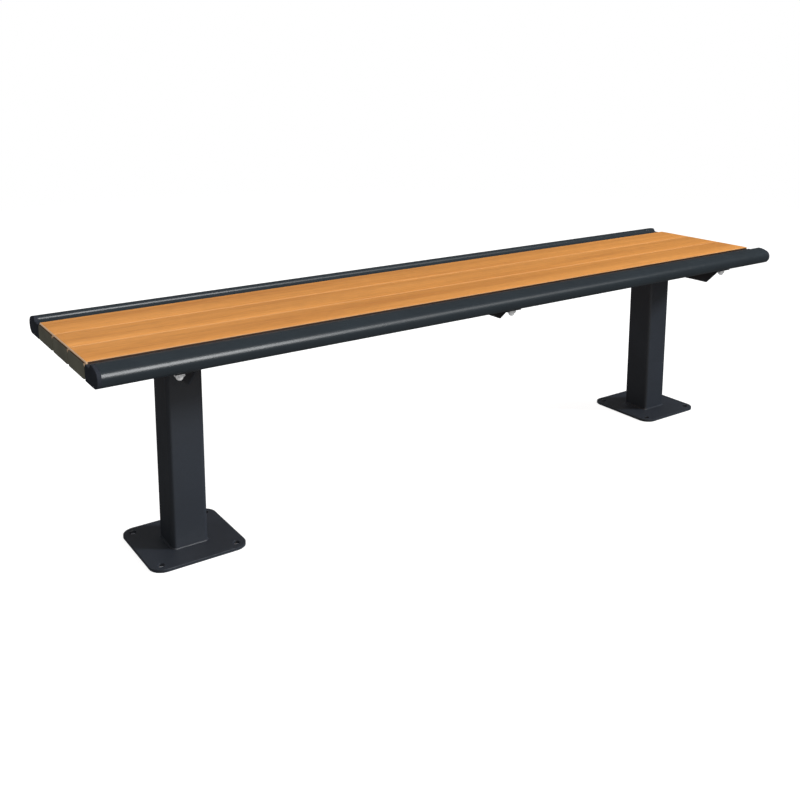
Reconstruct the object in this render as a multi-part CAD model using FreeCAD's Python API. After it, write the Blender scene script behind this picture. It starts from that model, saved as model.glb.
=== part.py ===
import FreeCAD, Part
import math
import os

# Backless bench for bolting to a hard surface, in millimetres.
# Origin: on the ground under the middle of the seat. +X along the seat, -Y towards the front, +Z up.
# Every piece is welded or bolted to the next, so nothing moves.

Vector = FreeCAD.Vector
os.makedirs("parts", exist_ok=True)

# Whole bench
OVERALL_LENGTH = 1800.0
OVERALL_DEPTH = 432.0
SEAT_HEIGHT = 452.5             # top of the planks
POST_SPACING = 1361.0           # centre to centre

# Planks: hollow extrusions, side by side
PLANK_COUNT = 3
PLANK_WIDTH = 97.5
PLANK_THICKNESS = 33.5
PLANK_GAP = 0.75
PLANK_WALL = 2.5
PLANK_CHAMFER = 1.3             # top edges, so that two planks meet in a V groove
PLANK_BASE_RADIUS = 1.0
PLANK_WEB_OFFSET = 22.0         # inner webs, from the plank's middle
PLANK_CAP_THICKNESS = 2.5
PLANK_CAP_TOP_INSET = 2.4       # the cap leaves the upper wall's end showing
PLANK_CAP_SIDE_INSET = 0.9
PLANK_CAP_RADIUS = 7.0

# Edge rails: hollow extrusions with a low inner shelf, a step up to the crest and a rounded nose
RAIL_GAP = 2.0                  # between the outer plank and the rail
RAIL_WALL = 2.5
RAIL_SHELF_HEIGHT = 29.5        # above the rail's underside
RAIL_SHELF_WIDTH = 22.0
RAIL_CREST_HEIGHT = 38.0
RAIL_CREST_OFFSET = 34.0        # from the rail's inner face
RAIL_NOSE_HEIGHT = 18.7         # of the widest point; the nose is this round below it
RAIL_NOSE_RADIUS = 15.5         # above the widest point
RAIL_FOOT_RADIUS = 1.5
RAIL_WEB_OFFSETS = (18.0, 42.0)
RAIL_SLOT_OFFSET = 30.0
RAIL_CAP_THICKNESS = 8.0
RAIL_CAP_EDGE_RADIUS = 1.5

# Both extrusions have the same bolt channel in their underside
SLOT_MOUTH = 10.8
SLOT_WIDTH = 17.6
SLOT_HEIGHT = 6.6
SLOT_WALL = 2.2
PLUG_LENGTH = 12.0              # spigots of the end caps
PLUG_CLEARANCE = 0.4

# Bearers: bent steel angles across the seat
BEARER_THICKNESS = 4.0
BEARER_HALF_SPAN = 195.0
BEARER_LEG = 42.0               # flat leg, under the planks
BEARER_BEND_RADIUS = 6.0
POST_BEARER_DEPTH = 39.5
MID_BEARER_DEPTH = 23.0
MID_BEARER_FACE = -7.0          # outer face of the middle bearer's web
BOLT_LINE = 28.0                # from a bearer's web face to its row of bolts

# Posts and base plates
POST_SIZE = 74.0
POST_WALL = 4.0
POST_RADIUS = 8.0
TOP_PLATE_THICKNESS = 4.0
BASE_SIZE = 198.0
BASE_THICKNESS = 6.0
BASE_RADIUS = 28.0
ANCHOR_SPACING = 156.0
ANCHOR_HOLE_RADIUS = 7.0
BASE_WELD = 2.4
SMALL_WELD = 3.0

# M10 tee bolts, washers and dome nuts
BOLT_RADIUS = 5.0
BOLT_HOLE_RADIUS = 5.5
TEE_HEAD_LENGTH = 16.6
TEE_HEAD_WIDTH = 10.2
TEE_HEAD_HEIGHT = 5.6
WASHER_RADIUS = 10.0
WASHER_THICKNESS = 2.0
NUT_ACROSS_FLATS = 17.0
NUT_HEX_HEIGHT = 6.0
NUT_DOME_RADIUS = 6.8
NUT_DOME_BASE = 0.8             # straight collar between the hexagon and the dome
NUT_BORE_DEPTH = 8.0

UNDERSIDE = SEAT_HEIGHT - PLANK_THICKNESS
HALF_LENGTH = OVERALL_LENGTH / 2
PLANK_PITCH = PLANK_WIDTH + PLANK_GAP
PLANK_ROWS = [(i - (PLANK_COUNT - 1) / 2) * PLANK_PITCH for i in range(PLANK_COUNT)]
RAIL_INNER = PLANK_ROWS[-1] + PLANK_WIDTH / 2 + RAIL_GAP
RAIL_WIDTH = OVERALL_DEPTH / 2 - RAIL_INNER
RAIL_BOLT_ROW = RAIL_INNER + RAIL_SLOT_OFFSET
POST_X = POST_SPACING / 2
POST_FACE = POST_X + POST_SIZE / 2
POST_TOP = UNDERSIDE - TOP_PLATE_THICKNESS
LEG_UNDERSIDE = UNDERSIDE - BEARER_THICKNESS

SIDES = {"left": -1, "right": 1}
FACES = {"front": -1, "rear": 1}
BEARERS = {
    "left_post_bearer": (-POST_FACE, -1, POST_BEARER_DEPTH),
    "mid_bearer": (MID_BEARER_FACE, 1, MID_BEARER_DEPTH),
    "right_post_bearer": (POST_FACE, 1, POST_BEARER_DEPTH),
}


def export(shape, node):
    shape.exportStep(f"parts/{node}.step")


def line(start, end):
    return Part.LineSegment(start, end).toShape()


def arc(centre, radius, start_deg, end_deg):
    """An arc in the section plane (Y across, Z up), as an edge."""
    points = []
    for degrees in (start_deg, (start_deg + end_deg) / 2, end_deg):
        angle = math.radians(degrees)
        points.append(centre + Vector(0, radius * math.cos(angle), radius * math.sin(angle)))
    return Part.Arc(*points).toShape()


def face_of(edges):
    return Part.Face(Part.Wire(Part.__sortEdges__(edges)))


def rectangle(y0, y1, z0, z1):
    """A rectangle in the section plane."""
    corners = [Vector(0, y0, z0), Vector(0, y1, z0), Vector(0, y1, z1), Vector(0, y0, z1)]
    return Part.Face(Part.makePolygon(corners + corners[:1]))


def rounded_rectangle(centre_x, centre_y, size, radius, z):
    """A square with rounded corners, level at height z, as a wire."""
    box = Part.makeBox(size, size, 1.0, Vector(centre_x - size / 2, centre_y - size / 2, z))
    upright = [e for e in box.Edges if abs(e.Vertexes[0].Z - e.Vertexes[1].Z) > 0.5]
    rounded = box.makeFillet(radius, upright)
    floor = min(rounded.Faces, key=lambda f: f.CenterOfMass.z)
    return floor.OuterWire


def mirror_y(shape):
    return shape.mirror(Vector(0, 0, 0), Vector(0, 1, 0))


def mirror_x(shape):
    return shape.mirror(Vector(0, 0, 0), Vector(1, 0, 0))


# Extrusion sections: Y runs across the piece and Z is height above its underside.

def slot_cut(centre_y):
    """The open bolt channel in an extrusion's underside."""
    mouth = rectangle(centre_y - SLOT_MOUTH / 2, centre_y + SLOT_MOUTH / 2, -1.0, PLANK_WALL + 0.5)
    floor = PLANK_WALL
    channel = rectangle(centre_y - SLOT_WIDTH / 2, centre_y + SLOT_WIDTH / 2, floor, floor + SLOT_HEIGHT)
    return mouth.fuse(channel)


def slot_block(centre_y):
    """The metal round the bolt channel."""
    half = SLOT_WIDTH / 2 + SLOT_WALL
    return rectangle(centre_y - half, centre_y + half, 0.0, PLANK_WALL + SLOT_HEIGHT + SLOT_WALL)


def chambers(outline, wall, webs, slot_y):
    """The closed hollows inside an extrusion's outline, between its webs."""
    hollow = outline.makeOffset2D(-wall)
    height = outline.BoundBox.ZMax
    for web_y in webs:
        hollow = hollow.cut(rectangle(web_y - wall / 2, web_y + wall / 2, -1.0, height + 1.0))
    return hollow.cut(slot_block(slot_y)).Faces


def extrusion(outline, hollows, slot_y, half_length):
    section = outline.cut(slot_cut(slot_y))
    for hollow in hollows:
        section = section.cut(hollow)
    solid = section.extrude(Vector(2 * half_length, 0, 0))
    solid.translate(Vector(-half_length, 0, UNDERSIDE))
    return solid.Solids[0]


def plugs(hollows, start_x, length):
    """Spigots that fill the ends of the hollows, with a small clearance."""
    made = []
    for hollow in hollows:
        core = hollow.makeOffset2D(-PLUG_CLEARANCE)
        solid = core.extrude(Vector(length, 0, 0))
        solid.translate(Vector(start_x, 0, UNDERSIDE))
        made.extend(solid.Solids)
    return made


def plank_outline():
    """Flat top with chamfered edges, and a flat base with small rounded edges."""
    half = PLANK_WIDTH / 2
    top = PLANK_THICKNESS
    cut = PLANK_CHAMFER
    base = PLANK_BASE_RADIUS
    return face_of([
        line(Vector(0, -half + base, 0), Vector(0, half - base, 0)),
        arc(Vector(0, half - base, base), base, -90, 0),
        line(Vector(0, half, base), Vector(0, half, top - cut)),
        line(Vector(0, half, top - cut), Vector(0, half - cut, top)),
        line(Vector(0, half - cut, top), Vector(0, -half + cut, top)),
        line(Vector(0, -half + cut, top), Vector(0, -half, top - cut)),
        line(Vector(0, -half, top - cut), Vector(0, -half, base)),
        arc(Vector(0, -half + base, base), base, 180, 270),
    ])


def rail_outline():
    """Inner shelf, step up to the crest, crown and rounded nose, from the inner face out."""
    inner = RAIL_INNER
    outer = OVERALL_DEPTH / 2
    foot = RAIL_FOOT_RADIUS
    nose_low = Vector(0, outer - RAIL_NOSE_HEIGHT, RAIL_NOSE_HEIGHT)
    nose_high = Vector(0, outer - RAIL_NOSE_RADIUS, RAIL_NOSE_HEIGHT)
    crest = Vector(0, inner + RAIL_CREST_OFFSET, RAIL_CREST_HEIGHT)

    # The crown starts level at the crest and ends tangent to the upper nose circle.
    run = nose_high.y - crest.y
    drop = crest.z - nose_high.z
    gap = drop - RAIL_NOSE_RADIUS
    crown_radius = (run ** 2 + drop ** 2 - RAIL_NOSE_RADIUS ** 2) / (2 * gap)
    crown = crest - Vector(0, 0, crown_radius)
    crown_end = math.degrees(math.atan2(nose_high.z - crown.z, nose_high.y - crown.y))

    # Two equal arcs lead from the shelf up to the crest.
    shelf_end = Vector(0, inner + RAIL_SHELF_WIDTH, RAIL_SHELF_HEIGHT)
    rise = crest.z - shelf_end.z
    going = crest.y - shelf_end.y
    half_turn = math.atan2(rise, going)
    ease = going / (2 * math.sin(2 * half_turn))
    tilt = math.degrees(2 * half_turn)
    shelf_edge = Vector(0, inner + foot, RAIL_SHELF_HEIGHT - foot)
    return face_of([
        line(Vector(0, inner + foot, 0), Vector(0, nose_low.y, 0)),
        arc(nose_low, RAIL_NOSE_HEIGHT, -90, 0),
        arc(nose_high, RAIL_NOSE_RADIUS, 0, crown_end),
        arc(crown, crown_radius, crown_end, 90),
        arc(crest - Vector(0, 0, ease), ease, 90, 90 + tilt),
        arc(shelf_end + Vector(0, 0, ease), ease, -90 + tilt, -90),
        line(shelf_end, shelf_edge + Vector(0, 0, foot)),
        arc(shelf_edge, foot, 90, 180),
        line(shelf_edge - Vector(0, foot, 0), Vector(0, inner, foot)),
        arc(Vector(0, inner + foot, foot), foot, 180, 270),
    ])


# Seat

def plank_cap(hollows):
    """Moulded end cap of a plank, at the right-hand end: a plate with spigots."""
    half = PLANK_WIDTH / 2 - PLANK_CAP_SIDE_INSET
    start = HALF_LENGTH - PLANK_CAP_THICKNESS
    height = PLANK_THICKNESS - PLANK_CAP_TOP_INSET - PLANK_CAP_SIDE_INSET
    corner = Vector(start, -half, UNDERSIDE + PLANK_CAP_SIDE_INSET)
    plate = Part.makeBox(PLANK_CAP_THICKNESS, 2 * half, height, corner)
    along = [e for e in plate.Edges if abs(e.Vertexes[0].X - e.Vertexes[1].X) > 1.0]
    plate = plate.makeFillet(PLANK_CAP_RADIUS, along)
    rim = [e for e in plate.Edges if e.BoundBox.XMin > HALF_LENGTH - 0.01]
    plate = plate.makeFillet(PLANK_CAP_THICKNESS * 0.4, rim)
    return plate.fuse(plugs(hollows, start - PLUG_LENGTH, PLUG_LENGTH)).removeSplitter()


def make_planks():
    outline = plank_outline()
    hollows = chambers(outline, PLANK_WALL, (-PLANK_WEB_OFFSET, PLANK_WEB_OFFSET), 0.0)
    plank = extrusion(outline, hollows, 0.0, HALF_LENGTH - PLANK_CAP_THICKNESS)
    right_cap = plank_cap(hollows)
    left_cap = mirror_x(right_cap)
    for name, row in zip(("front", "middle", "rear"), PLANK_ROWS):
        place = Vector(0, row, 0)
        export(plank.translated(place), f"{name}_plank")
        export(left_cap.translated(place), f"{name}_plank_left_cap")
        export(right_cap.translated(place), f"{name}_plank_right_cap")


def rail_cap(outline, hollows):
    """Moulded end cap of the rear rail, at the right-hand end, with a rounded outer rim."""
    start = HALF_LENGTH - RAIL_CAP_THICKNESS
    head = outline.extrude(Vector(RAIL_CAP_THICKNESS, 0, 0))
    head.translate(Vector(start, 0, UNDERSIDE))
    rim = [e for e in head.Edges if e.BoundBox.XMin > HALF_LENGTH - 0.01]
    head = head.makeFillet(RAIL_CAP_EDGE_RADIUS, rim)
    return head.fuse(plugs(hollows, start - PLUG_LENGTH, PLUG_LENGTH)).removeSplitter()


def make_rails():
    outline = rail_outline()
    webs = [RAIL_INNER + offset for offset in RAIL_WEB_OFFSETS]
    hollows = chambers(outline, RAIL_WALL, webs, RAIL_BOLT_ROW)
    rear = extrusion(outline, hollows, RAIL_BOLT_ROW, HALF_LENGTH - RAIL_CAP_THICKNESS)
    cap = rail_cap(outline, hollows)
    export(rear, "rear_rail")
    export(mirror_y(rear), "front_rail")
    for side, end in (("right", cap), ("left", mirror_x(cap))):
        export(end, f"rear_rail_{side}_cap")
        export(mirror_y(end), f"front_rail_{side}_cap")


# Bearers and their bolts

def bearer(face_x, direction, depth):
    """Bent angle: a flat leg under the seat and a web that tapers at 45 degrees at both ends."""
    length = 2 * BEARER_HALF_SPAN
    corner = Vector(0, -BEARER_HALF_SPAN, UNDERSIDE - depth)
    solid = Part.makeBox(BEARER_LEG, length, depth, corner)
    outer_bend = [
        e for e in solid.Edges
        if e.BoundBox.XMax < 0.01 and e.BoundBox.ZMin > UNDERSIDE - 0.01
    ]
    solid = solid.makeFillet(BEARER_BEND_RADIUS, outer_bend)
    inside = Part.makeBox(
        BEARER_LEG, length, depth, corner + Vector(BEARER_THICKNESS, 0, -BEARER_THICKNESS)
    )
    inner_bend = [
        e for e in inside.Edges
        if e.BoundBox.XMax < BEARER_THICKNESS + 0.01 and e.BoundBox.ZMin > LEG_UNDERSIDE - 0.01
    ]
    solid = solid.cut(inside.makeFillet(BEARER_BEND_RADIUS - BEARER_THICKNESS, inner_bend))
    for end in (-1, 1):
        low = Vector(-1, end * (BEARER_HALF_SPAN - depth), UNDERSIDE - depth)
        taper = [
            low,
            Vector(-1, end * (BEARER_HALF_SPAN + 1), UNDERSIDE + 1),
            Vector(-1, end * (BEARER_HALF_SPAN + 1), UNDERSIDE - depth - 1),
            Vector(-1, end * (BEARER_HALF_SPAN - depth - 1), UNDERSIDE - depth - 1),
        ]
        wedge = Part.Face(Part.makePolygon(taper + taper[:1])).extrude(Vector(BEARER_LEG / 2, 0, 0))
        below_leg = Part.makeBox(
            BEARER_LEG, length + 4, depth + 2,
            Vector(-2, -BEARER_HALF_SPAN - 2, LEG_UNDERSIDE - depth - 2)
        )
        solid = solid.cut(wedge.common(below_leg))
    for row in bolt_rows():
        hole = Part.makeCylinder(BOLT_HOLE_RADIUS, 3 * BEARER_THICKNESS)
        hole.translate(Vector(BOLT_LINE, row, LEG_UNDERSIDE - BEARER_THICKNESS))
        solid = solid.cut(hole)
    if direction < 0:
        solid = mirror_x(solid)
    solid.translate(Vector(face_x, 0, 0))
    return solid.Solids[0]


def bolt_rows():
    return [-RAIL_BOLT_ROW] + PLANK_ROWS + [RAIL_BOLT_ROW]


def tee_bolt():
    """Tee head in the channel, shank down through the bearer. Its origin is on the seat's underside."""
    head_base = PLANK_WALL
    shank_end = -BEARER_THICKNESS - WASHER_THICKNESS - NUT_BORE_DEPTH + 0.5
    head = Part.makeBox(
        TEE_HEAD_WIDTH, TEE_HEAD_LENGTH, TEE_HEAD_HEIGHT,
        Vector(-TEE_HEAD_WIDTH / 2, -TEE_HEAD_LENGTH / 2, head_base)
    )
    upright = [e for e in head.Edges if abs(e.Vertexes[0].Z - e.Vertexes[1].Z) > 1.0]
    head = head.makeFillet(TEE_HEAD_WIDTH * 0.2, upright)
    shank = Part.makeCylinder(BOLT_RADIUS, head_base - shank_end, Vector(0, 0, shank_end))
    tip = [e for e in shank.Edges if e.BoundBox.ZMax < shank_end + 0.01]
    return head.fuse(shank.makeChamfer(BOLT_RADIUS * 0.15, tip)).removeSplitter()


def washer():
    top = -BEARER_THICKNESS
    ring = Part.makeCylinder(WASHER_RADIUS, WASHER_THICKNESS, Vector(0, 0, top - WASHER_THICKNESS))
    hole = Part.makeCylinder(BOLT_HOLE_RADIUS, 4 * WASHER_THICKNESS, Vector(0, 0, top - 3 * WASHER_THICKNESS))
    return ring.cut(hole)


def dome_nut():
    """Hexagon with chamfered corners, a short collar and a dome, with a blind bore for the bolt."""
    top = -BEARER_THICKNESS - WASHER_THICKNESS
    corner_radius = NUT_ACROSS_FLATS / math.sqrt(3)
    corners = []
    for i in range(7):
        angle = math.radians(60 * i)
        corners.append(Vector(corner_radius * math.cos(angle), corner_radius * math.sin(angle), top))
    prism = Part.Face(Part.makePolygon(corners)).extrude(Vector(0, 0, -NUT_HEX_HEIGHT))
    bevel = corner_radius - NUT_ACROSS_FLATS / 2
    blank = Part.makeCylinder(corner_radius, NUT_HEX_HEIGHT, Vector(0, 0, top - NUT_HEX_HEIGHT))
    blank = blank.makeChamfer(bevel * 0.6, [e for e in blank.Edges if len(e.Vertexes) == 1])
    collar_end = top - NUT_HEX_HEIGHT - NUT_DOME_BASE
    collar = Part.makeCylinder(NUT_DOME_RADIUS, NUT_DOME_BASE, Vector(0, 0, collar_end))
    dome = Part.makeSphere(NUT_DOME_RADIUS, Vector(0, 0, collar_end))
    above = Part.makeBox(40, 40, 40, Vector(-20, -20, collar_end))
    nut = prism.common(blank).fuse([collar, dome.cut(above)])
    bore = Part.makeCylinder(BOLT_RADIUS, NUT_BORE_DEPTH, Vector(0, 0, top - NUT_BORE_DEPTH))
    return nut.cut(bore).removeSplitter().Solids[0]


def make_bearers():
    for name, (face_x, direction, depth) in BEARERS.items():
        export(bearer(face_x, direction, depth), name)


def make_fasteners():
    """Every bearer has one set of bolt, washer and nut at each plank and each rail."""
    columns = [face_x + direction * BOLT_LINE for face_x, direction, depth in BEARERS.values()]
    rows = {"plank": PLANK_ROWS, "rail": [-RAIL_BOLT_ROW, RAIL_BOLT_ROW]}
    pieces = {"tee_bolts": tee_bolt(), "washers": washer(), "dome_nuts": dome_nut()}
    for group, ys in rows.items():
        for kind, piece in pieces.items():
            solids = [piece.translated(Vector(x, y, UNDERSIDE)) for x in columns for y in ys]
            export(Part.makeCompound(solids), f"{group}_{kind}")


# Posts

def post(centre_x):
    """Square tube from the base plate up to the top plate."""
    height = POST_TOP - BASE_THICKNESS
    outer = rounded_rectangle(centre_x, 0, POST_SIZE, POST_RADIUS, BASE_THICKNESS)
    inner = rounded_rectangle(
        centre_x, 0, POST_SIZE - 2 * POST_WALL, POST_RADIUS - POST_WALL, BASE_THICKNESS
    )
    return Part.Face([outer, inner]).extrude(Vector(0, 0, height))


def top_plate(centre_x):
    outline = rounded_rectangle(centre_x, 0, POST_SIZE, POST_RADIUS, POST_TOP)
    return Part.Face(outline).extrude(Vector(0, 0, TOP_PLATE_THICKNESS))


def base_plate(centre_x):
    """Square plate with large rounded corners, four anchor holes and a broken top edge."""
    outline = rounded_rectangle(centre_x, 0, BASE_SIZE, BASE_RADIUS, 0)
    plate = Part.Face(outline).extrude(Vector(0, 0, BASE_THICKNESS))
    top_edge = [e for e in plate.Edges if e.BoundBox.ZMin > BASE_THICKNESS - 0.01]
    plate = plate.makeChamfer(0.6, top_edge)
    for sx in (-1, 1):
        for sy in (-1, 1):
            hole = Part.makeCylinder(ANCHOR_HOLE_RADIUS, 3 * BASE_THICKNESS)
            hole.translate(Vector(
                centre_x + sx * ANCHOR_SPACING / 2, sy * ANCHOR_SPACING / 2, -BASE_THICKNESS
            ))
            plate = plate.cut(hole)
    return plate.Solids[0]


def base_weld(centre_x):
    """Fillet weld all round the post's foot."""
    low = rounded_rectangle(
        centre_x, 0, POST_SIZE + 2 * BASE_WELD, POST_RADIUS + BASE_WELD, BASE_THICKNESS
    )
    high = rounded_rectangle(
        centre_x, 0, POST_SIZE + 0.4, POST_RADIUS + 0.2, BASE_THICKNESS + BASE_WELD
    )
    skirt = Part.makeLoft([low, high], True)
    foot = rounded_rectangle(centre_x, 0, POST_SIZE, POST_RADIUS, BASE_THICKNESS - 1)
    return skirt.cut(Part.Face(foot).extrude(Vector(0, 0, BASE_WELD + 3))).Solids[0]


def bearer_weld(side):
    """Fillet welds down both edges of the post's outer face and along the bearer's lower edge."""
    half = POST_SIZE / 2 - POST_RADIUS
    low = UNDERSIDE - POST_BEARER_DEPTH
    seam = [Vector(0, 0, 0), Vector(SMALL_WELD, 0, 0), Vector(0, 0, -SMALL_WELD)]
    bead = Part.Face(Part.makePolygon(seam + seam[:1])).extrude(Vector(0, 2 * half, 0))
    bead.translate(Vector(POST_FACE, -half, low))
    return bead if side > 0 else mirror_x(bead)


def make_posts():
    for name, side in SIDES.items():
        centre_x = side * POST_X
        export(post(centre_x), f"{name}_post")
        export(top_plate(centre_x), f"{name}_post_top_plate")
        export(base_plate(centre_x), f"{name}_base_plate")
        export(base_weld(centre_x), f"{name}_base_weld")
        export(bearer_weld(side), f"{name}_bearer_weld")


make_planks()
make_rails()
make_bearers()
make_fasteners()
make_posts()
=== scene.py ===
import math

import bmesh
import bpy
from mathutils import Matrix, Vector
from mathutils.geometry import tessellate_polygon


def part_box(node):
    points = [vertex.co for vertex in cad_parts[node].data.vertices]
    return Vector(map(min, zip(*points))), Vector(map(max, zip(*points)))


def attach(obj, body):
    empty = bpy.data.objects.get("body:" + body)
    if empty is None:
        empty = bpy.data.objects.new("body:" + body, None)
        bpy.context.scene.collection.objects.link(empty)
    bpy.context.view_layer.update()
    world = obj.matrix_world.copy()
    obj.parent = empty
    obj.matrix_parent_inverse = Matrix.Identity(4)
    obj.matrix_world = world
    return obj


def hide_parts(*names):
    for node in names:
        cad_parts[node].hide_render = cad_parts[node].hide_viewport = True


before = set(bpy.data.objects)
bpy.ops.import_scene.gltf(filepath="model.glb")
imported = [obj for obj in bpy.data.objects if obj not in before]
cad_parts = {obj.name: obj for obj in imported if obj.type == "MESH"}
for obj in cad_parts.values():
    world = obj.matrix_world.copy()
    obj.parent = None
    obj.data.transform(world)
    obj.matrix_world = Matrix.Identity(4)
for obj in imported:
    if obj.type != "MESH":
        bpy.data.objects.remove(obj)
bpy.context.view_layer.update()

# Backless bench: the looks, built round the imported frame. Metres, in the frame's own axes.

MM = 0.001
SIDES = {"left": -1, "right": 1}
ROWS = ("front", "middle", "rear")

# Section sizes that a node's box doesn't give
PLANK_CHAMFER = 1.3 * MM
PLANK_EDGE = 0.6 * MM              # rounding of the chamfer's two edges
PLANK_FOOT = 1.0 * MM
PLANK_END = 1.6 * MM               # broken edge of a plank's sawn end
PLANK_CAP_THICKNESS = 2.5 * MM
PLANK_CAP_RADIUS = 7.0 * MM
PLANK_CAP_RIM = 0.8 * MM
RAIL_SHELF_HEIGHT = 29.5 * MM
RAIL_SHELF_WIDTH = 22.0 * MM
RAIL_CREST_OFFSET = 34.0 * MM      # from the rail's inner face
RAIL_NOSE_HEIGHT = 18.7 * MM       # of the widest point; the nose is this round below it
RAIL_NOSE_RADIUS = 15.5 * MM       # above the widest point
RAIL_FOOT = 1.5 * MM
RAIL_CAP_THICKNESS = 8.0 * MM
RAIL_CAP_RIM = 1.5 * MM
CHANNEL_OFFSET = 30.0 * MM         # bolt channel, from the rail's inner face
CHANNEL_MOUTH = 10.8 * MM
CHANNEL_WIDTH = 17.6 * MM
CHANNEL_HEIGHT = 6.6 * MM
CHANNEL_FLOOR = 2.5 * MM
CHANNEL_EDGE = 0.4 * MM
CUT_EDGE = 0.3 * MM                # broken edge of a sawn or moulded end

BEARER_THICKNESS = 4.0 * MM
BEARER_BEND = 6.0 * MM
BEARER_EDGE = 0.5 * MM
BOLT_LINE = 28.0 * MM              # from a bearer's web face to its bolts

POST_RADIUS = 8.0 * MM
POST_WALL = 4.0 * MM
BASE_RADIUS = 28.0 * MM
BASE_EDGE = 0.6 * MM
ANCHOR_SPACING = 156.0 * MM
ANCHOR_RADIUS = 7.0 * MM
BASE_WELD = 2.4 * MM
BEARER_WELD = 3.0 * MM
WELD_RIPPLE = 2.4 * MM             # length of one ripple
WELD_HOLLOW = 1.35                 # exponent that hollows a bead's face

WASHER_RADIUS = 10.0 * MM
WASHER_BORE = 5.5 * MM
WASHER_THICKNESS = 2.0 * MM
WASHER_EDGE = 0.35 * MM
NUT_ACROSS_FLATS = 17.0 * MM
NUT_HEX_HEIGHT = 6.0 * MM
NUT_CHAMFER = 1.2 * MM              # across the corner, and its drop along the nut
NUT_CHAMFER_DROP = 0.6 * NUT_CHAMFER
NUT_DOME_RADIUS = 6.8 * MM
NUT_COLLAR = 0.8 * MM
NUT_COLLAR_EDGE = 0.3 * MM

WOOD_TONES = (                      # along the figure, from dark to pale
    (0.28, (0.490, 0.188, 0.036)), (0.45, (0.555, 0.226, 0.045)),
    (0.58, (0.590, 0.244, 0.051)), (0.72, (0.630, 0.268, 0.060)),
)
PLANK_CROWN_SHADING = (                     # painted shading of a slightly crowned top: paler at a plank's front edge, deeper towards its rear
    (0.0, 1.17), (0.08, 1.13), (0.20, 1.05), (0.40, 1.0),
    (0.60, 0.96), (0.80, 0.93), (0.92, 0.97), (1.0, 1.10),
)
CHAMFER_HIGHLIGHT_TONE = (0.53, 0.270, 0.103)    # painted highlight on a plank's chamfers
JOINT_SHADE_TONE = (0.040, 0.018, 0.009)   # painted shade on the plank sides in the joints
CUT_END_AND_HIGHLIGHT_TONE = (0.78, 0.53, 0.34)       # pale sawn ends, partly a painted highlight, and the painted highlight on plank sides beside them
END_HIGHLIGHT_LENGTH = 5.0 * MM              # of that painted highlight on the sides
RAIL_TONE = (0.0200, 0.0266, 0.0322)
FRAME_TONE = (0.0230, 0.0283, 0.0378)
RAIL_CAP_TONE = (0.020, 0.024, 0.034)
PLANK_CAP_TONE = (0.125, 0.120, 0.090)
LEDGE_SHADE_TONE = (0.060, 0.030, 0.012)  # painted shade on top of a plank's cap
CAP_CORNER_HIGHLIGHT_TONE = (0.55, 0.38, 0.25)    # painted highlight on the upper corners of a plank's cap
# painted shadow on the sheet seen through the anchor holes
HOLE_SHADOW_TONES = ((0.3, (0.50, 0.54, 0.60)), (0.7, (0.60, 0.64, 0.70)))
SEAT_SHADE_HEIGHTS = (0.370, 0.400)            # heights between which painted shade darkens the frame's coating under the seat

AMBIENT = 0.40                     # even light on surfaces
MIRRORED = 0.06                    # what the gloss sees away from the softboxes

SMALL_STEPS = 4                    # facets round an edge
CURVE_STEPS = 14                   # facets round a hand-sized curve
MERGE = 0.002 * MM                 # points nearer than this become one
RIM_STEPS = 8                      # facets round a cap's corner in its outline
POST_STEPS = 10
PLATE_STEPS = 20
HOLE_STEPS = 48                    # facets round an anchor hole
ROUND_STEPS = 64                   # facets round a washer
NUT_STEPS = 60                     # facets round a nut, ten to each flat

FLOOR_REACH = 14.0
FLOOR_FADE = (1.6, 5.0)            # distances between which the floor fades away
FLOOR_PAINT = 0.30
FLOOR_GLOW = 0.86
CAMERA_PLACE = (-1.33955, -1.71268, 0.94976)
CAMERA_TURN = -34.552              # degrees about the vertical
CAMERA_DIP = 10.151                # degrees below level
CAMERA_ROLL = 0.097                # degrees about its own axis
CAMERA_LENS = 42.982               # on a 36 mm sensor
CAMERA_SHIFT = (0.00323, -0.20955)


# Outlines: closed lists of (across, up) points

def arc(centre, radius, start, end, steps):
    """Points from start to end degrees on a circle."""
    points = []
    for i in range(steps + 1):
        angle = math.radians(start + (end - start) * i / steps)
        points.append((centre[0] + radius * math.cos(angle), centre[1] + radius * math.sin(angle)))
    return points


def rounded(corners, steps=SMALL_STEPS):
    """A closed outline through (across, up, radius) corners, each rounded to its own radius."""
    points = []
    for i, (*corner, radius) in enumerate(corners):
        here = Vector(corner)
        back = (Vector(corners[i - 1][:2]) - here).normalized()
        ahead = (Vector(corners[(i + 1) % len(corners)][:2]) - here).normalized()
        turn = math.pi - back.angle(ahead)
        centre = here + (back + ahead).normalized() * (radius / math.cos(turn / 2))
        first = here + back * (radius * math.tan(turn / 2)) - centre
        side = 1 if back.x * ahead.y - back.y * ahead.x < 0 else -1
        for k in range(steps + 1):
            angle = side * turn * k / steps
            cos, sin = math.cos(angle), math.sin(angle)
            across = centre.x + first.x * cos - first.y * sin
            points.append((across, centre.y + first.x * sin + first.y * cos))
    return points


def rounded_box(low, high, radius, inset=0.0, steps=SMALL_STEPS):
    """A rectangle with rounded corners, drawn in by inset."""
    radius = max(radius - inset, 0.05 * MM)
    x0, y0, x1, y1 = low[0] + inset, low[1] + inset, high[0] - inset, high[1] - inset
    return rounded([(x0, y0, radius), (x1, y0, radius), (x1, y1, radius), (x0, y1, radius)], steps)


def channel(middle, base):
    """Corners of the open bolt channel in an extrusion's underside."""
    mouth, width = CHANNEL_MOUTH / 2, CHANNEL_WIDTH / 2
    floor = CHANNEL_FLOOR
    roof = floor + CHANNEL_HEIGHT
    left = [(-mouth, base), (-mouth, floor), (-width, floor), (-width, roof)]
    right = [(-across, up) for across, up in reversed(left)]
    return [(middle + across, up, CHANNEL_EDGE) for across, up in left + right]


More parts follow.
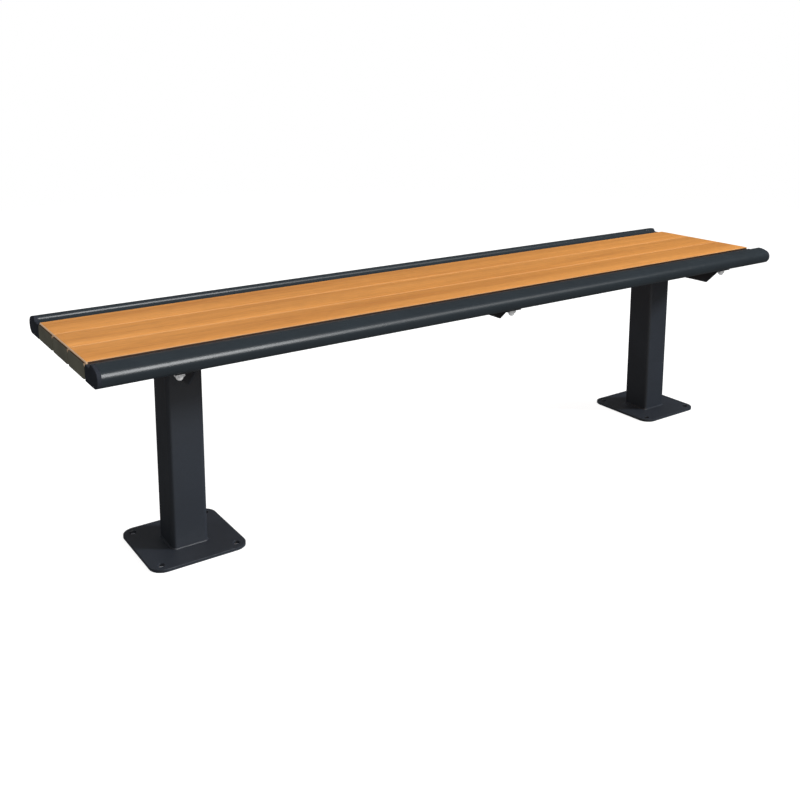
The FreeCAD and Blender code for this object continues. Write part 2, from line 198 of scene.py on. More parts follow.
def plank_outline(half, height, inset=0.0):
    """Flat top with softly broken chamfers, and a flat base with the bolt channel in it."""
    cut = PLANK_CHAMFER + inset * (math.sqrt(2) - 1)
    side, top = half - inset, height - inset
    upper = [
        (side, height - cut, PLANK_EDGE), (half - cut, top, PLANK_EDGE),
        (cut - half, top, PLANK_EDGE), (-side, height - cut, PLANK_EDGE),
    ]
    foot = max(PLANK_FOOT - inset, 0.1 * MM)
    return rounded([(-side, inset, foot)] + channel(0.0, inset) + [(side, inset, foot)] + upper)


def rail_outline(width, height, inset=0.0, slotted=True):
    """Across from the inner face: shelf, step up to the crest, crown and rounded nose."""
    nose_low = (width - RAIL_NOSE_HEIGHT, RAIL_NOSE_HEIGHT)
    nose_high = (width - RAIL_NOSE_RADIUS, RAIL_NOSE_HEIGHT)

    # The crown is the arc that is level at the crest and runs smoothly into the nose
    run = nose_high[0] - RAIL_CREST_OFFSET
    drop = height - nose_high[1]
    crown_radius = (run ** 2 + drop ** 2 - RAIL_NOSE_RADIUS ** 2) / (2 * (drop - RAIL_NOSE_RADIUS))
    crown = (RAIL_CREST_OFFSET, height - crown_radius)
    crown_end = math.degrees(math.atan2(nose_high[1] - crown[1], nose_high[0] - crown[0]))

    # Two equal arcs make the step from the shelf up to the crest
    rise = height - RAIL_SHELF_HEIGHT
    going = RAIL_CREST_OFFSET - RAIL_SHELF_WIDTH
    tilt = 2 * math.atan2(rise, going)
    ease = going / (2 * math.sin(tilt))
    tilt = math.degrees(tilt)

    foot = max(RAIL_FOOT, inset + 0.05 * MM)
    foot_radius = foot - inset
    points = arc((foot, foot), foot_radius, 180, 270, SMALL_STEPS)
    if slotted:
        points += channel_points(CHANNEL_OFFSET, inset)
    points += arc(nose_low, RAIL_NOSE_HEIGHT - inset, -90, 0, CURVE_STEPS)
    points += arc(nose_high, RAIL_NOSE_RADIUS - inset, 0, crown_end, CURVE_STEPS)[1:]
    points += arc(crown, crown_radius - inset, crown_end, 90, SMALL_STEPS * 2)[1:]
    points += arc((crown[0], height - ease), ease - inset, 90, 90 + tilt, SMALL_STEPS * 2)[1:]
    shelf_arc = (RAIL_SHELF_WIDTH, RAIL_SHELF_HEIGHT + ease)
    points += arc(shelf_arc, ease + inset, -90 + tilt, -90, SMALL_STEPS * 2)[1:]
    points += arc((foot, RAIL_SHELF_HEIGHT - foot), foot_radius, 90, 180, SMALL_STEPS)
    return points


def channel_points(middle, base):
    """The bolt channel's rounded corners, cut out of a plain block that carries it."""
    corners = channel(middle, base)
    left, right, top = middle - CHANNEL_WIDTH, middle + CHANNEL_WIDTH, 1.0
    block = [(right, base, 0.0), (right, top, 0.0), (left, top, 0.0)]
    whole = rounded([(left, base, 0.0)] + corners + block)
    per_corner = SMALL_STEPS + 1
    return whole[per_corner:per_corner * (1 + len(corners))]


# Solids: skins through stations, each a list of loops (outline first, then holes) of 3D points

def along_x(x, outline):
    return [(x, across, up) for across, up in outline]


def along_z(z, outline):
    return [(across, up, z) for across, up in outline]


def skin(stations, closed=False):
    """Points and faces of a solid. A closed one joins its last station to its first."""
    points, faces = [], []
    starts = []
    for loops in stations:
        starts.append([])
        for loop in loops:
            starts[-1].append(len(points))
            points.extend(loop)
    pairs = list(zip(range(len(stations) - 1), range(1, len(stations))))
    if closed:
        pairs.append((len(stations) - 1, 0))
    for a, b in pairs:
        for k, loop in enumerate(stations[a]):
            here, there = starts[a][k], starts[b][k]
            size = len(loop)
            for j in range(size):
                n = (j + 1) % size
                faces.append((here + j, here + n, there + n, there + j))
    if not closed:
        for end in (0, -1):
            flat = [[Vector(p) for p in loop] for loop in stations[end]]
            first = starts[end][0]
            faces.extend(tuple(first + i for i in tri) for tri in tessellate_polygon(flat))
    return points, faces


def copies(part, places):
    """The same solid at several places, as one set of points and faces."""
    points, faces = [], []
    for offset in places:
        first = len(points)
        points.extend(tuple(Vector(p) + Vector(offset)) for p in part[0])
        faces.extend(tuple(first + i for i in face) for face in part[1])
    return points, faces


def piece(node, part, look, sharp=32.0):
    """A mesh object that stands for one CAD node, with edges above the sharp angle kept crisp."""
    name = f"{node}_form"
    mesh = bpy.data.meshes.new(name)
    mesh.from_pydata(part[0], [], part[1])
    shape = bmesh.new()
    shape.from_mesh(mesh)
    bmesh.ops.remove_doubles(shape, verts=shape.verts, dist=MERGE)
    bmesh.ops.dissolve_degenerate(shape, edges=shape.edges, dist=MERGE)
    bmesh.ops.recalc_face_normals(shape, faces=shape.faces)
    shape.to_mesh(mesh)
    shape.free()
    mesh.shade_smooth()
    mesh.set_sharp_from_angle(angle=math.radians(sharp))
    made = bpy.data.objects.new(name, mesh)
    bpy.context.scene.collection.objects.link(made)
    weighted = made.modifiers.new("flat faces stay flat", "WEIGHTED_NORMAL")
    weighted.keep_sharp = True
    finish, slot = look
    mesh.materials.append(finish)
    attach(made, "root")
    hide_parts(node)
    return made


# Materials

def new_material(name):
    made = bpy.data.materials.new(name)
    made.use_nodes = True
    return made, made.node_tree, made.node_tree.nodes["Principled BSDF"]


def add(tree, kind, inputs, **settings):
    """A node with its settings, and its inputs linked or set."""
    made = tree.nodes.new(kind)
    for key, value in settings.items():
        setattr(made, key, value)
    for key, value in inputs.items():
        if isinstance(value, bpy.types.NodeSocket):
            tree.links.new(value, made.inputs[key])
        else:
            made.inputs[key].default_value = value
    return made


def place(tree, scale):
    """Object coordinates, in metres, stretched by a scale for each axis."""
    where = tree.nodes.new("ShaderNodeTexCoord").outputs["Object"]
    return add(tree, "ShaderNodeMapping", {"Vector": where, "Scale": scale}).outputs["Vector"]


def noise(tree, scale, detail=2.0, roughness=0.5, distortion=0.0):
    """Noise with about so many features to the metre along, across and up."""
    inputs = {
        "Vector": place(tree, scale), "Scale": 1.0, "Detail": detail,
        "Roughness": roughness, "Distortion": distortion,
    }
    return add(tree, "ShaderNodeTexNoise", inputs).outputs["Fac"]


def ramp(tree, factor, *stops):
    """Colours at positions along a factor."""
    made = add(tree, "ShaderNodeValToRGB", {"Fac": factor})
    elements = made.color_ramp.elements
    while len(elements) < len(stops):
        elements.new(0.5)
    for element, (position, colour) in zip(elements, stops):
        element.position = position
        element.color = (*colour, 1.0)
    return made.outputs["Color"]


def grey(value):
    return (value, value, value)


def blend(tree, kind, factor, first, second):
    inputs = {"Fac": factor, "Color1": first, "Color2": second}
    return add(tree, "ShaderNodeMixRGB", inputs, blend_type=kind).outputs["Color"]


def remap(tree, value, start, end, low=0.0, high=1.0, **settings):
    """A value between start and end, carried over to between low and high."""
    inputs = {"Value": value, "From Min": start, "From Max": end, "To Min": low, "To Max": high}
    return add(tree, "ShaderNodeMapRange", inputs, **settings).outputs["Result"]


def spread(tree, factor, low, high):
    """A factor of about 0.3 to 0.7, as noise gives, spread from low to high."""
    return remap(tree, factor, 0.3, 0.7, low, high)


def bump(tree, height, distance, strength=1.0, normal=None):
    inputs = {"Height": height, "Distance": distance, "Strength": strength}
    if normal is not None:
        inputs["Normal"] = normal
    return add(tree, "ShaderNodeBump", inputs).outputs["Normal"]


def link(tree, output, socket):
    tree.links.new(output, socket)


def maths(tree, operation, first, second=None):
    inputs = {0: first} if second is None else {0: first, 1: second}
    return add(tree, "ShaderNodeMath", inputs, operation=operation).outputs["Value"]


def facing(tree):
    """How far a surface faces along the bench and up."""
    turned = tree.nodes.new("ShaderNodeNewGeometry").outputs["Normal"]
    parts = add(tree, "ShaderNodeSeparateXYZ", {"Vector": turned}).outputs
    return maths(tree, "ABSOLUTE", parts["X"]), parts["Z"]


def coordinate(tree, axis):
    where = tree.nodes.new("ShaderNodeTexCoord").outputs["Object"]
    return add(tree, "ShaderNodeSeparateXYZ", {"Vector": where}).outputs[axis]


def near_ends(tree, half, length):
    """One within a length of either end of the planks, and zero between."""
    away = maths(tree, "ABSOLUTE", coordinate(tree, "X"))
    return remap(tree, away, half - length, half - length / 2)


def across_plank(tree):
    """From zero at a plank's front edge to one at its rear edge, the same on every plank."""
    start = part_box("front_plank")[0].y
    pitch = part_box("middle_plank")[0].y - start
    planks = maths(tree, "DIVIDE", maths(tree, "SUBTRACT", coordinate(tree, "Y"), start), pitch)
    return maths(tree, "FRACT", planks)


def wood_look():
    """Wood-look powder coat: long soft figure and fine grain lines, with painted shade on the plank
    sides, painted highlights on the chamfers and end corners, pale sawn ends that are partly a
    painted highlight, and painted shading across each plank.
    """
    made, tree, shader = new_material("wood_look_powder_coat")
    figure = noise(tree, (1.3, 30.0, 30.0), detail=3.0, roughness=0.55, distortion=0.4)
    colour = ramp(tree, figure, *WOOD_TONES)
    lines = noise(tree, (5.0, 330.0, 330.0), detail=4.0, roughness=0.6)
    line_tone = ramp(tree, lines, (0.30, grey(0.80)), (0.50, grey(1.0)), (0.70, grey(1.07)))
    mottle = noise(tree, (30.0, 170.0, 170.0), detail=3.0, roughness=0.7)
    mottle_tone = ramp(tree, mottle, (0.32, grey(0.90)), (0.50, grey(1.0)), (0.68, grey(1.08)))
    colour = blend(tree, "MULTIPLY", 1.0, colour, mottle_tone)
    colour = blend(tree, "MULTIPLY", 0.75, colour, line_tone)
    pores = noise(tree, (38.0, 1500.0, 1500.0), detail=2.0)
    pore_tone = ramp(tree, pores, (0.26, grey(0.66)), (0.36, grey(1.0)))
    colour = blend(tree, "MULTIPLY", 0.6, colour, pore_tone)
    # painted shading across each plank, as a crowned top would be lit
    crown_shading_tone = ramp(tree, across_plank(tree), *[(spot, grey(tone)) for spot, tone in PLANK_CROWN_SHADING])
    colour = blend(tree, "MULTIPLY", 1.0, colour, crown_shading_tone)
    along, up = facing(tree)
    steep = maths(tree, "ABSOLUTE", up)
    # painted shade: the plank sides are darkened as if in the shadow of the joints
    side_shade_mask = ramp(tree, steep, (0.20, grey(1.0)), (0.45, grey(0.0)))
    colour = blend(tree, "MIX", side_shade_mask, colour, (*JOINT_SHADE_TONE, 1.0))
    # painted highlight: the upward chamfers are made paler than the top, as if catching the light
    chamfer = ramp(
        tree, up, (0.35, grey(0.0)), (0.60, grey(1.0)), (0.80, grey(1.0)), (0.97, grey(0.0))
    )
    colour = blend(tree, "MIX", chamfer, colour, (*CHAMFER_HIGHLIGHT_TONE, 1.0))
    # sawn ends are made pale, partly as a painted highlight on faces that are in shade; near the
    # ends the plank sides get the same tone as a painted highlight
    ends = ramp(tree, along, (0.50, grey(0.0)), (0.70, grey(1.0)))
    near_end_mask = near_ends(tree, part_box("front_plank")[1].x, END_HIGHLIGHT_LENGTH)
    corners = maths(tree, "MULTIPLY", side_shade_mask, near_end_mask)
    ends = maths(tree, "MAXIMUM", ends, corners)
    colour = blend(tree, "MIX", ends, colour, (*CUT_END_AND_HIGHLIGHT_TONE, 1.0))
    link(tree, colour, shader.inputs["Base Color"])
    link(tree, spread(tree, lines, 0.52, 0.42), shader.inputs["Roughness"])
    grain = bump(tree, lines, 0.00012, 0.6)
    speckled = bump(tree, noise(tree, (900.0,) * 3, detail=1.0), 0.00006, 0.5, grain)
    link(tree, speckled, shader.inputs["Normal"])
    shader.inputs["Specular IOR Level"].default_value = 0.4
    return made, "plank_coating"


def powder_coat(name, slot, base, roughness, peel=520.0, seat_shade=None):
    """Mottled paint with the orange peel of baked powder, and painted shade under the seat if
    asked.
    """
    made, tree, shader = new_material(name)
    cloud = noise(tree, (9.0, 9.0, 9.0), detail=4.0, roughness=0.6)
    fleck = noise(tree, (1400.0,) * 3, detail=1.0)
    colour = ramp(
        tree, cloud,
        (0.30, tuple(0.90 * c for c in base)), (0.50, base), (0.70, tuple(1.12 * c for c in base)),
    )
    flecks = ramp(tree, fleck, (0.35, grey(0.86)), (0.50, grey(1.0)), (0.68, grey(1.2)))
    colour = blend(tree, "MULTIPLY", 0.8, colour, flecks)
    # painted shade: the coating darkens with height under the seat
    if seat_shade:
        low, high = SEAT_SHADE_HEIGHTS
        shade = ramp(tree, coordinate(tree, "Z"), (low, grey(1.0)), (high, grey(seat_shade)))
        colour = blend(tree, "MULTIPLY", 1.0, colour, shade)
    link(tree, colour, shader.inputs["Base Color"])
    patchy = spread(tree, cloud, roughness + 0.04, roughness - 0.04)
    link(tree, patchy, shader.inputs["Roughness"])
    peeled = bump(tree, noise(tree, (peel,) * 3, detail=2.0), 0.00008, 0.5)
    link(tree, peeled, shader.inputs["Normal"])
    return made, slot


def moulded_plastic(name, slot, base, roughness, ledge_shade=None):
    """Matte moulded plastic with a fine sparked texture; if asked, painted shade on its upward
    ledges and a painted highlight on its slanting corners.
    """
    made, tree, shader = new_material(name)
    spark = noise(tree, (1900.0,) * 3, detail=2.0)
    cloud = noise(tree, (22.0,) * 3, detail=3.0)
    colour = ramp(
        tree, cloud, (0.30, tuple(0.88 * c for c in base)), (0.70, tuple(1.12 * c for c in base))
    )
    sparks = ramp(tree, spark, (0.32, grey(0.85)), (0.60, grey(1.0)), (0.75, grey(1.25)))
    colour = blend(tree, "MULTIPLY", 1.0, colour, sparks)
    if ledge_shade:
        along, up = facing(tree)
        # painted shade on the cap's upward ledges
        upward_shade_mask = ramp(tree, up, (0.45, grey(0.0)), (0.75, grey(1.0)))
        colour = blend(tree, "MIX", upward_shade_mask, colour, (*ledge_shade, 1.0))
        # painted highlight on the cap's slanting corners
        slanting = ramp(
            tree, up, (0.02, grey(0.0)), (0.15, grey(1.0)), (0.75, grey(1.0)), (0.90, grey(0.0))
        )
        edgewise = ramp(tree, along, (0.25, grey(1.0)), (0.50, grey(0.0)))
        corner_highlight_mask = blend(tree, "MULTIPLY", 1.0, slanting, edgewise)
        colour = blend(tree, "MIX", corner_highlight_mask, colour, (*CAP_CORNER_HIGHLIGHT_TONE, 1.0))
    link(tree, colour, shader.inputs["Base Color"])
    patchy = spread(tree, spark, roughness - 0.06, roughness + 0.06)
    link(tree, patchy, shader.inputs["Roughness"])
    link(tree, bump(tree, spark, 0.00006, 0.6), shader.inputs["Normal"])
    shader.inputs["Specular IOR Level"].default_value = 0.25
    return made, slot


def stainless():
    """Stainless fixings, turned: fine rings and a soft satin gloss."""
    made, tree, shader = new_material("stainless_steel")
    rings = noise(tree, (90.0, 90.0, 5200.0), detail=2.0)
    cloud = noise(tree, (160.0,) * 3, detail=3.0)
    link(tree, ramp(tree, cloud, (0.3, grey(0.90)), (0.7, grey(0.97))), shader.inputs["Base Color"])
    link(tree, spread(tree, rings, 0.34, 0.46), shader.inputs["Roughness"])
    link(tree, bump(tree, rings, 0.00002, 0.4), shader.inputs["Normal"])
    shader.inputs["Metallic"].default_value = 0.20
    return made, "stainless"


WOOD = wood_look()
RAIL = powder_coat("rail_powder_coat", "rail_coating", RAIL_TONE, roughness=0.31)
STEEL = powder_coat(
    "frame_powder_coat", "frame_coating", FRAME_TONE, roughness=0.46, peel=380.0, seat_shade=0.55
)
RAIL_PLASTIC = moulded_plastic(
    "rail_cap_plastic", "rail_cap_plastic", RAIL_CAP_TONE, roughness=0.80
)
PLANK_PLASTIC = moulded_plastic(
    "plank_cap_plastic", "plank_cap_plastic", PLANK_CAP_TONE, roughness=0.66, ledge_shade=LEDGE_SHADE_TONE
)
STAINLESS = stainless()


# Seat

def make_plank(row):
    """A slotted extrusion with a broken edge at each sawn end."""
    low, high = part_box(f"{row}_plank")
    middle = (low.y + high.y) / 2
    half, height = (high.y - low.y) / 2, high.z - low.z
    cut = PLANK_END
    ends = [(low.x, cut), (low.x + cut, 0.0), (high.x - cut, 0.0), (high.x, cut)]
    stations = []
    for x, inset in ends:
        outline = [(middle + y, low.z + z) for y, z in plank_outline(half, height, inset)]
        stations.append([along_x(x, outline)])
    piece(f"{row}_plank", skin(stations), WOOD)


def rim_stations(inner, outer, rim, steps=8):
    """(x, inset) pairs of a moulding: a small edge at the joint and a rounded rim outside."""
    way = 1 if outer > inner else -1
    pairs = [(inner, CUT_EDGE), (inner + way * CUT_EDGE, 0.0)]
    for i in range(steps + 1):
        angle = math.pi / 2 * i / steps
        pairs.append((outer - way * rim * (1 - math.sin(angle)), rim * (1 - math.cos(angle))))
    return pairs


def make_plank_cap(row, side):
    node = f"{row}_plank_{side}_cap"
    low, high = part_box(node)
    outer = high.x if side == "right" else low.x
    inner = outer - SIDES[side] * PLANK_CAP_THICKNESS
    stations = []
    for x, inset in rim_stations(inner, outer, PLANK_CAP_RIM, 4):
        outline = rounded_box((low.y, low.z), (high.y, high.z), PLANK_CAP_RADIUS, inset, RIM_STEPS)
        stations.append([along_x(x, outline)])
    piece(node, skin(stations), PLANK_PLASTIC)


def rail_places(node):
    """The rail's inner face, which way it faces out, and its width, underside and height."""
    low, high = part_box(node)
    out = 1 if high.y > 0 else -1
    inner = low.y if out > 0 else high.y
    return inner, out, high.y - low.y, low.z, high.z - low.z


def make_rail(face):
    node = f"{face}_rail"
    low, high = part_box(node)
    inner, out, width, base, height = rail_places(node)
    section = [(inner + out * y, base + z) for y, z in rail_outline(width, height)]
    piece(node, skin([[along_x(low.x, section)], [along_x(high.x, section)]]), RAIL, sharp=24.0)


def make_rail_cap(face, side):
    node = f"{face}_rail_{side}_cap"
    inner, out, width, base, height = rail_places(f"{face}_rail")
    low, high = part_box(node)
    outer = high.x if side == "right" else low.x
    joint = outer - SIDES[side] * RAIL_CAP_THICKNESS
    stations = []
    for x, inset in rim_stations(joint, outer, RAIL_CAP_RIM, 10):
        outline = rail_outline(width, height, inset, slotted=False)
        stations.append([along_x(x, [(inner + out * y, base + z) for y, z in outline])])
    piece(node, skin(stations), RAIL_PLASTIC, sharp=40.0)


# Bearers and fixings

def bearer_outline(leg, depth, limit):
    """Bent angle seen along the seat's depth, web at 0, cut off at limit below its top face."""
    bend, thick = BEARER_BEND, BEARER_THICKNESS
    corners = [
        (leg, 0.0, BEARER_EDGE), (0.0, 0.0, bend), (0.0, -depth, BEARER_EDGE),
        (thick, -depth, BEARER_EDGE), (thick, -thick, bend - thick), (leg, -thick, BEARER_EDGE),
    ]
    return [(across, max(up, -limit)) for across, up in rounded(corners, 8)]


def make_bearer(node, web_face, way):
    """A bent angle whose web is cut back at 45 degrees towards both ends."""
    low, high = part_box(node)
    leg, depth = high.x - low.x, high.z - low.z
    limits = (BEARER_THICKNESS, BEARER_THICKNESS, BEARER_BEND, depth)
    marks = [(low.y, limits[0])] + [(low.y + limit, limit) for limit in limits[1:]]
    marks += [(-y, limit) for y, limit in reversed(marks)]
    stations = []
    for y, limit in marks:
        outline = bearer_outline(leg, depth, limit)
        stations.append([[(web_face + way * across, y, high.z + up) for across, up in outline]])
    piece(node, skin(stations), STEEL, sharp=30.0)


def nut():
    """Dome nut hanging from z = 0: hexagon with turned chamfers, collar and dome."""
    flat = NUT_ACROSS_FLATS / 2
    peak = flat / math.cos(math.radians(30))

    def hexagon(limit, z):
        loop = []
        for i in range(NUT_STEPS):
            angle = 2 * math.pi * i / NUT_STEPS
            to_flat = (angle + math.pi / 6) % (math.pi / 3) - math.pi / 6
            reach = min(flat / math.cos(to_flat), limit)
            loop.append((reach * math.cos(angle), reach * math.sin(angle), z))
        return [loop]

    stations = []
    for i in range(6):
        stations.append(hexagon(peak - NUT_CHAMFER * (1 - i / 5), -NUT_CHAMFER_DROP * i / 5))
    for i in range(6):
        level = -NUT_HEX_HEIGHT + NUT_CHAMFER_DROP * (1 - i / 5)
        stations.append(hexagon(peak - NUT_CHAMFER * i / 5, level))
    collar_end = -NUT_HEX_HEIGHT - NUT_COLLAR
    stations.append(hexagon(NUT_DOME_RADIUS + NUT_COLLAR_EDGE, -NUT_HEX_HEIGHT))
    stations.append(hexagon(NUT_DOME_RADIUS, -NUT_HEX_HEIGHT - NUT_COLLAR_EDGE))
    for i in range(13):
        angle = math.pi / 2 * i / 12
        radius = max(NUT_DOME_RADIUS * math.cos(angle), 0.1 * MM)
        stations.append(hexagon(radius, collar_end - NUT_DOME_RADIUS * math.sin(angle)))
    return skin(stations)


def ring(inner, outer, thickness):
    """A washer hanging from z = 0, with rounded edges."""
    section = rounded_box((inner, -thickness), (outer, 0.0), WASHER_EDGE)
    stations = []
    for i in range(ROUND_STEPS):
        angle = 2 * math.pi * i / ROUND_STEPS
        stations.append([[(r * math.cos(angle), r * math.sin(angle), z) for r, z in section]])
    return skin(stations, closed=True)


def make_fixings():
    """A nut and washer at each plank and each rail, in a row along each bearer."""
    leg_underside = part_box("front_plank")[0].z - BEARER_THICKNESS
    columns = [web_face + way * BOLT_LINE for web_face, way in BEARERS.values()]
    planks = []
    for row in ROWS:
        low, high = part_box(f"{row}_plank")
        planks.append((low.y + high.y) / 2)
    rails = []
    for face in ("front", "rear"):
        inner, out = rail_places(f"{face}_rail")[:2]
        rails.append(inner + out * CHANNEL_OFFSET)
    for group, lines in (("plank", planks), ("rail", rails)):
        washers = [(x, y, leg_underside) for x in columns for y in lines]
        nuts = [(x, y, z - WASHER_THICKNESS) for x, y, z in washers]
        washer = ring(WASHER_BORE, WASHER_RADIUS, WASHER_THICKNESS)
        piece(f"{group}_washers", copies(washer, washers), STAINLESS)
        piece(f"{group}_dome_nuts", copies(nut(), nuts), STAINLESS, sharp=28.0)
        finish_node(f"{group}_tee_bolts", STAINLESS)


def finish_node(node, look):
    """A CAD node whose shape is right only gets its material."""
    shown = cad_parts[node]
    shown.data.materials.clear()
    shown.data.materials.append(look[0])


# Posts and plates

def make_post(side):
    node = f"{side}_post"
    low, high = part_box(node)
    stations = []
    for z in (low.z, high.z):
        outer = rounded_box(low, high, POST_RADIUS, 0.0, POST_STEPS)
        inner = rounded_box(low, high, POST_RADIUS, POST_WALL, POST_STEPS)
        stations.append([along_z(z, outer), along_z(z, inner)])
    piece(node, skin(stations), STEEL)


def plate_levels(low, high, edge, steps=3):
    """(z, inset) pairs of a flat plate with a rounded upper edge."""
    pairs = [(low, CUT_EDGE), (low + CUT_EDGE, 0.0)]
    for i in range(steps + 1):
        angle = math.pi / 2 * i / steps
        pairs.append((high - edge * (1 - math.sin(angle)), edge * (1 - math.cos(angle))))
    return pairs


def make_top_plate(side):
    node = f"{side}_post_top_plate"
    low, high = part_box(node)
    stations = []
    for z, inset in plate_levels(low.z, high.z, CUT_EDGE):
        stations.append([along_z(z, rounded_box(low, high, POST_RADIUS, inset, POST_STEPS))])
    piece(node, skin(stations), STEEL)


def make_base_plate(side):
    """Plate with large rounded corners and four anchor holes."""
    node = f"{side}_base_plate"
    low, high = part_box(node)
    middle = (low + high) / 2
    stations = []
    for z, inset in plate_levels(low.z, high.z, BASE_EDGE):
        loops = [along_z(z, rounded_box(low, high, BASE_RADIUS, inset, PLATE_STEPS))]
        bore = ANCHOR_RADIUS + inset * 0.7
        for sx in (-1, 1):
            for sy in (-1, 1):
                centre = (middle.x + sx * ANCHOR_SPACING / 2, middle.y + sy * ANCHOR_SPACING / 2)
                loops.append(along_z(z, arc(centre, bore, 0, 360, HOLE_STEPS)[:-1]))
        stations.append(loops)
    piece(node, skin(stations), STEEL)


def square_walk(low, high, radius, pitch):
    """Points along a rounded square with their outward directions, a pitch apart."""
    outline = rounded_box(low, high, radius, 0.0, 24)
    walk = []
    count = len(outline)
    for i in range(count):
        a, b = Vector(outline[i]), Vector(outline[(i + 1) % count])
        step = b - a
        if step.length < 1e-6:
            continue
        out = Vector((step.y, -step.x)).normalized()
        parts = max(1, round(step.length / pitch))
        for k in range(parts):
            walk.append((a + step * (k / parts), out))
    return walk


def bead_section(size, phase):
    """(out, up) points of one slice of a rippled fillet weld."""
    points = [(0.0, 0.0)]
    steps = 7
    for i in range(steps + 1):
        angle = math.pi / 2 * i / steps
        ripple = abs(math.sin(math.pi * (phase + 0.3 * math.sin(2 * angle))))
        reach = size * (0.90 + 0.10 * ripple ** 0.7)
        if i in (0, steps):
            reach = size * 0.97
        out, up = math.sin(angle) ** WELD_HOLLOW, abs(math.cos(angle)) ** WELD_HOLLOW
        points.append((reach * out, reach * up))
    return points


def make_base_weld(side):
    """Fillet weld all round the post's foot, with the ripples of its pool."""
    node = f"{side}_base_weld"
    post_low, post_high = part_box(f"{side}_post")
    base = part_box(node)[0].z
    pitch = WELD_RIPPLE / 4
    stations = []
    travelled = 0.0
    before = None
    for point, out in square_walk(post_low, post_high, POST_RADIUS, pitch):
        if before is not None:
            travelled += (point - before).length
        before = point
        loop = []
        for reach, up in bead_section(BASE_WELD, travelled / WELD_RIPPLE):
            spot = point + out * reach
            loop.append((spot.x, spot.y, base + up))
        stations.append([loop])
    piece(node, skin(stations, closed=True), STEEL, sharp=60.0)


def make_bearer_weld(side):
    """Straight bead under the bearer's web, on the post's outer face."""
    node = f"{side}_bearer_weld"
    low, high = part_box(node)
    way = SIDES[side]
    face = low.x if way > 0 else high.x
    steps = round((high.y - low.y) / WELD_RIPPLE * 4)
    stations = []
    for i in range(steps + 1):
        y = low.y + (high.y - low.y) * i / steps
        taper = min(1.0, 0.35 + 0.65 * min(i, steps - i) / 5)
        section = bead_section(BEARER_WELD * taper, (y - low.y) / WELD_RIPPLE)
        stations.append([[(face + way * reach, y, high.z - up) for reach, up in section]])
    piece(node, skin(stations), STEEL, sharp=60.0)


# Stage

def make_floor():
    """A plain pale floor that fades into the pale surroundings."""
    bpy.ops.mesh.primitive_circle_add(vertices=96, radius=FLOOR_REACH, fill_type="NGON")
    floor = bpy.context.object
    floor.name = "floor"
    made = bpy.data.materials.new("floor_paper")
    made.use_nodes = True
    tree = made.node_tree
    tree.nodes.clear()
    pale = add(tree, "ShaderNodeBsdfDiffuse", {"Color": (*grey(FLOOR_PAINT), 1.0)})
    glow = add(tree, "ShaderNodeEmission", {"Color": (1, 1, 1, 1), "Strength": FLOOR_GLOW})
    lit = add(tree, "ShaderNodeAddShader", {0: pale.outputs[0], 1: glow.outputs[0]})
    clear = tree.nodes.new("ShaderNodeBsdfTransparent")
    where = tree.nodes.new("ShaderNodeTexCoord").outputs["Object"]
    away = add(tree, "ShaderNodeVectorMath", {0: where}, operation="LENGTH").outputs["Value"]
    near, far = FLOOR_FADE
    fade = remap(tree, away, near, far, interpolation_type="SMOOTHSTEP")
    mixed = add(tree, "ShaderNodeMixShader", {"Fac": fade, 1: lit.outputs[0], 2: clear.outputs[0]})
    add(tree, "ShaderNodeOutputMaterial", {"Surface": mixed.outputs[0]})
    floor.data.materials.append(made)
    floor.visible_glossy = False
    floor.visible_diffuse = False
    floor.visible_shadow = False


def make_plate_shade(side):
    """A grey sheet under a base plate, painted as the shadowed ground that shows through its anchor
    holes.
    """
    low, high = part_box(f"{side}_base_plate")
    middle = (low + high) / 2
    spot = (middle.x, middle.y, low.z + CUT_EDGE)
    bpy.ops.mesh.primitive_plane_add(size=high.x - low.x - 2 * ANCHOR_RADIUS, location=spot)
    shade = bpy.context.object
    shade.name = f"{side}_plate_shade"
    made, tree, shader = new_material(f"{side}_shaded_ground")
    tone = ramp(tree, noise(tree, (60.0,) * 3), *HOLE_SHADOW_TONES)
    link(tree, tone, shader.inputs["Base Color"])
    shade.data.materials.append(made)


def make_world():
    """White to look at, an even light for surfaces and a dimmer one for the gloss to mirror."""
    world = bpy.data.worlds.new("studio")
    bpy.context.scene.world = world
    world.use_nodes = True
    tree = world.node_tree
    tree.nodes.clear()
    path = tree.nodes.new("ShaderNodeLightPath").outputs
    even = add(tree, "ShaderNodeBackground", {"Color": (1, 1, 1, 1), "Strength": AMBIENT})
    mirrored = add(tree, "ShaderNodeBackground", {"Color": (1, 1, 1, 1), "Strength": MIRRORED})
    bright = add(tree, "ShaderNodeBackground", {"Color": (1, 1, 1, 1), "Strength": 1.0})
    inputs = {"Fac": path["Is Glossy Ray"], 1: even.outputs[0], 2: mirrored.outputs[0]}
    glossy = add(tree, "ShaderNodeMixShader", inputs)
    inputs = {"Fac": path["Is Camera Ray"], 1: glossy.outputs[0], 2: bright.outputs[0]}
    mixed = add(tree, "ShaderNodeMixShader", inputs)
    add(tree, "ShaderNodeOutputWorld", {"Surface": mixed.outputs[0]})


def softbox(name, position, target, size, radiance, glossy=True):
    """A softbox aimed at a point, which either shows in the gloss or lights the surfaces."""
    light = bpy.data.lights.new(name, "AREA")
    light.shape = "RECTANGLE"
    light.size, light.size_y = size
    light.energy = radiance * math.pi * size[0] * size[1]
    made = bpy.data.objects.new(name, light)
    made.location = position
    made.rotation_euler = (Vector(target) - Vector(position)).to_track_quat("-Z", "Y").to_euler()
    made.visible_camera = False
    made.visible_glossy = glossy
    made.visible_diffuse = not glossy
    bpy.context.scene.collection.objects.link(made)


def broad_sun(name, direction, strength, breadth):
    """Soft light from a direction, so many degrees broad and not shown in the gloss."""
    light = bpy.data.lights.new(name, "SUN")
    light.energy = strength
    light.angle = math.radians(breadth)
    made = bpy.data.objects.new(name, light)
    made.rotation_euler = (-Vector(direction)).to_track_quat("-Z", "Y").to_euler()
    made.visible_glossy = False
    bpy.context.scene.collection.objects.link(made)


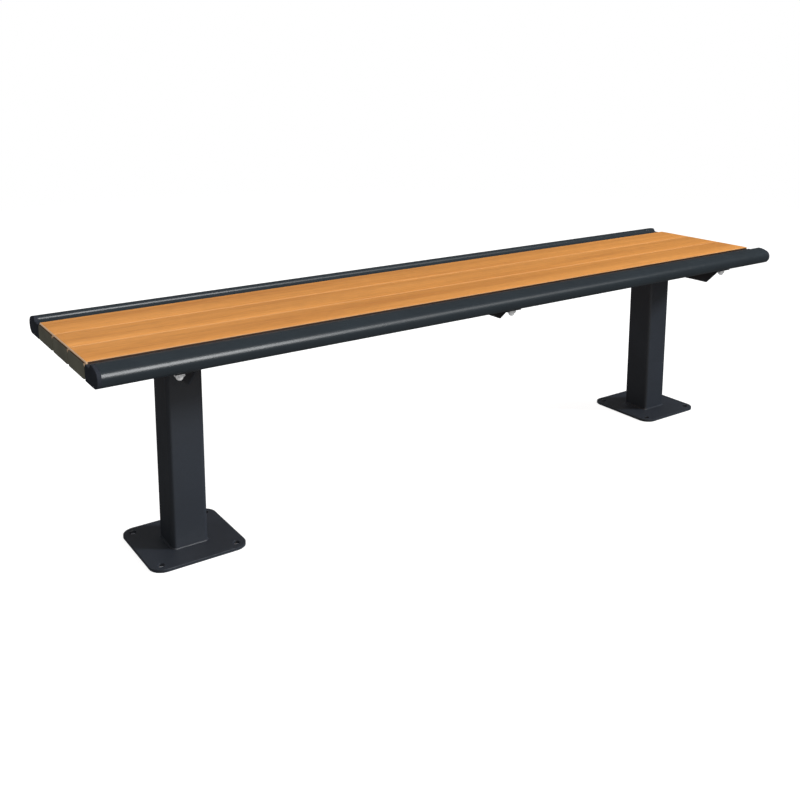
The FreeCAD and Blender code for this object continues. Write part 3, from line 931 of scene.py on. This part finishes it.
def make_lights():
    """Two softboxes in front for the gloss, a low main light, and weak light from all round."""
    softbox("front_left_box", (0.10, -2.65, 1.90), (-0.5, 0.0, 0.45), (1.6, 1.75), radiance=11.6)
    softbox("front_right_box", (1.60, -2.00, 1.90), (0.2, 0.0, 0.45), (1.5, 1.2), radiance=2.2)
    broad_sun("front_right", (0.742, -0.518, 0.425), strength=3.65, breadth=10.0)
    broad_sun("above", (0.0, 0.1, 1.0), strength=1.0, breadth=70.0)
    broad_sun("behind", (0.25, 0.95, 0.20), strength=0.8, breadth=50.0)
    broad_sun("below", (-0.1, -0.1, -1.0), strength=0.8, breadth=60.0)
    softbox(
        "right_fill", (1.9, -0.6, 1.9), (0.8, 0.0, 0.45), (1.0, 1.0), radiance=3.0, glossy=False
    )


def make_camera():
    """A person's view from the left end, looking along the bench and slightly down."""
    data = bpy.data.cameras.new("camera")
    data.sensor_fit = "HORIZONTAL"
    data.sensor_width = 36.0
    data.lens = CAMERA_LENS
    data.shift_x, data.shift_y = CAMERA_SHIFT
    camera = bpy.data.objects.new("camera", data)
    turn = Matrix.Rotation(math.radians(CAMERA_TURN), 4, "Z")
    look = Matrix.Rotation(math.radians(90 - CAMERA_DIP), 4, "X")
    roll = Matrix.Rotation(math.radians(CAMERA_ROLL), 4, "Z")
    camera.matrix_world = Matrix.Translation(CAMERA_PLACE) @ turn @ look @ roll
    bpy.context.scene.collection.objects.link(camera)
    bpy.context.scene.camera = camera


BEARERS = {
    "left_post_bearer": (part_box("left_post_bearer")[1].x, -1),
    "mid_bearer": (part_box("mid_bearer")[0].x, 1),
    "right_post_bearer": (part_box("right_post_bearer")[0].x, 1),
}

make_camera()
make_world()
make_lights()
make_floor()
for row in ROWS:
    make_plank(row)
    for side in SIDES:
        make_plank_cap(row, side)
for face in ("front", "rear"):
    make_rail(face)
    for side in SIDES:
        make_rail_cap(face, side)
for node, (web_face, way) in BEARERS.items():
    make_bearer(node, web_face, way)
make_fixings()
for side in SIDES:
    make_post(side)
    make_top_plate(side)
    make_base_plate(side)
    make_plate_shade(side)
    make_base_weld(side)
    make_bearer_weld(side)

bpy.context.scene.view_settings.view_transform = "Standard"
